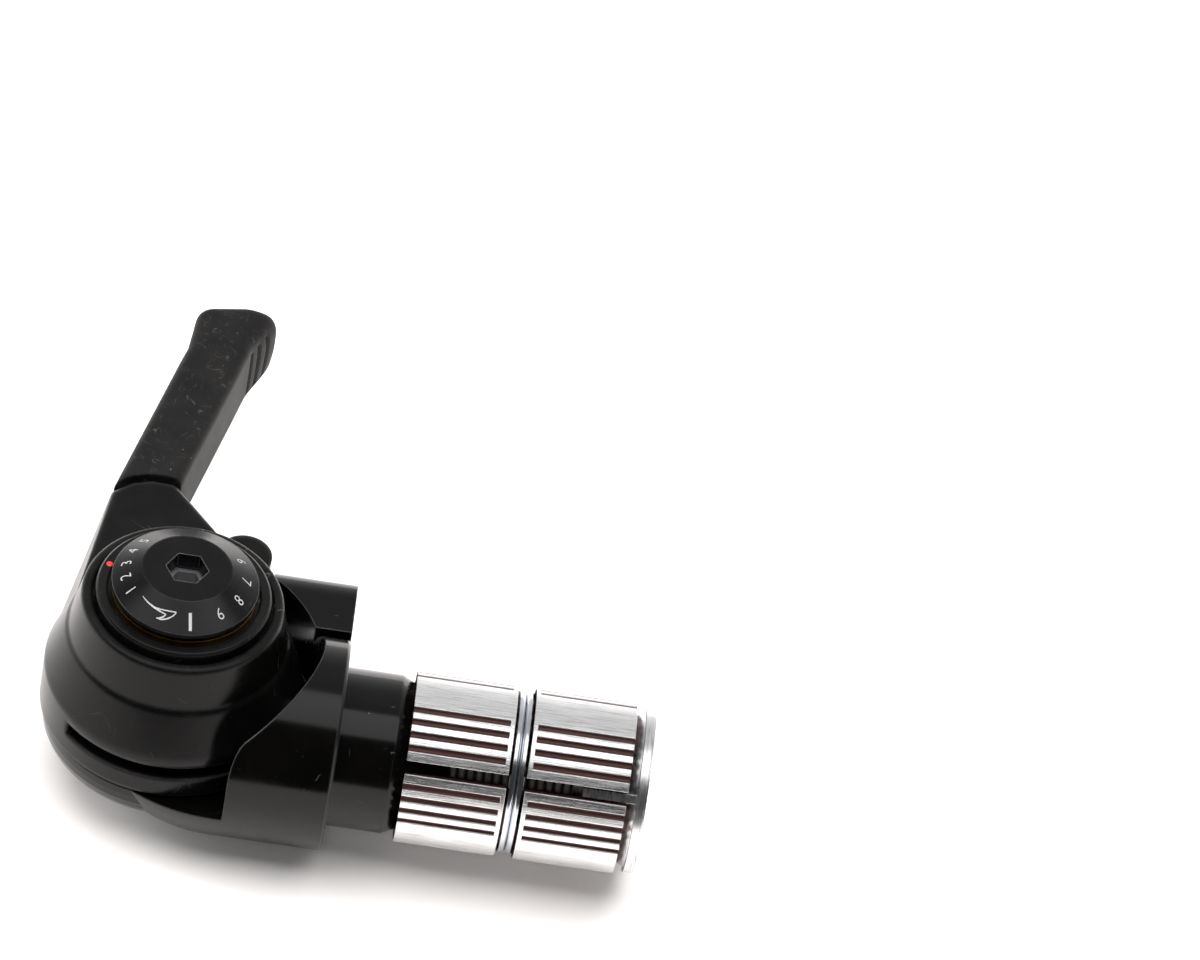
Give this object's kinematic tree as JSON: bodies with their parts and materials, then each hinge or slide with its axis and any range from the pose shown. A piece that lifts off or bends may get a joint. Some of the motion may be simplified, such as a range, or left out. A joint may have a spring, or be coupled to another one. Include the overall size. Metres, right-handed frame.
{
  "type": "bar end shifter",
  "caption": "Lever shifter for the open end of a drop handlebar: an expanding plug, a collar with a cable stop, and a cable drum lever with a rubber grip and a mode dial.",
  "frame": {"origin": "on the handlebar's axis at the collar's end face, where the bar's cut end butts against it", "axes": "+X along the bar's axis into the bar, +Z along the lever's post out of the dial, +Y towards the cable stop"},
  "size_m": [0.0693, 0.0711, 0.032],
  "materials": {
    "body_paint": "gloss black paint on cast alloy",
    "lever_black": "satin black anodised, handled",
    "dial_black": "satin black anodised",
    "ring_black": "satin black",
    "grip_rubber": "matt black rubber",
    "brass": "bright turned brass",
    "bronze": "sintered bronze",
    "steel": "bright machined steel",
    "hard_steel": "hardened steel",
    "zinc_spring": "bluish zinc-plated spring wire",
    "wedge_alloy": "polished extruded alloy",
    "nut_alloy": "bright turned alloy",
    "bolt_steel": "dark oiled steel",
    "washer_plastic": "natural low-friction plastic"
  },
  "bodies": {
    "mount": {"mount_body": "body_paint", "pivot_post": "hard_steel", "low_washer": "washer_plastic", "detent_washer": "washer_plastic", "detent_carrier": "hard_steel", "detent_balls": "steel", "spring_washer": "hard_steel", "clamp_plate": "hard_steel", "marker_ring": "ring_black", "brass_washer": "brass", "fixing_bolt": "steel"},
    "shift_lever": {"lever": "lever_black", "pivot_bush": "bronze", "index_plate": "hard_steel", "lever_grip": "grip_rubber"},
    "dial": {"mode_dial": "dial_black"},
    "bolt": {"plug_bolt": "bolt_steel"},
    "nut": {"cone_nut": "nut_alloy"},
    "wedge_a": {"wedge_1": "wedge_alloy"},
    "wedge_b": {"wedge_2": "wedge_alloy"},
    "wedge_c": {"wedge_3": "wedge_alloy"},
    "ring_spring": {"wedge_spring": "zinc_spring"}
  },
  "joints": [
    {"name": "lever_pivot", "type": "hinge", "parent": "mount", "child": "shift_lever", "pos_m": [-0.0195, 0.0048, 0], "axis": [0, 0, 1], "range_deg": [0, 110]},
    {"name": "dial_turn", "type": "hinge", "parent": "mount", "child": "dial", "pos_m": [-0.0195, 0.0048, 0], "axis": [0, 0, 1], "range_deg": [-116, 0]},
    {"name": "bolt_turn", "type": "hinge", "parent": "mount", "child": "bolt", "pos_m": [0, 0, 0], "axis": [1, 0, 0], "range_deg": [0, 720]},
    {"name": "nut_draw", "type": "slide", "parent": "mount", "child": "nut", "axis": [-1, 0, 0], "range_m": [0, 0.002]},
    {"name": "wedge_a_spread", "type": "slide", "parent": "mount", "child": "wedge_a", "axis": [-0.8944, -0.4183, -0.1581], "range_m": [0, 0.00112]},
    {"name": "wedge_b_spread", "type": "slide", "parent": "mount", "child": "wedge_b", "axis": [-0.8944, 0.3461, -0.2833], "range_m": [0, 0.00112]},
    {"name": "wedge_c_spread", "type": "slide", "parent": "mount", "child": "wedge_c", "axis": [-0.8944, 0.0723, 0.4413], "range_m": [0, 0.00112]},
    {"name": "spring_shift", "type": "slide", "parent": "mount", "child": "ring_spring", "axis": [-1, 0, 0], "range_m": [0, 0.001]}
  ],
  "couplings": [
    {"joint": "bolt_turn", "follows": "nut_draw", "rad_per_m": 6283.1},
    {"joint": "wedge_a_spread", "follows": "nut_draw", "ratio": 0.55901},
    {"joint": "wedge_b_spread", "follows": "nut_draw", "ratio": 0.55901},
    {"joint": "wedge_c_spread", "follows": "nut_draw", "ratio": 0.55901},
    {"joint": "spring_shift", "follows": "nut_draw", "ratio": 0.49999}
  ]
}
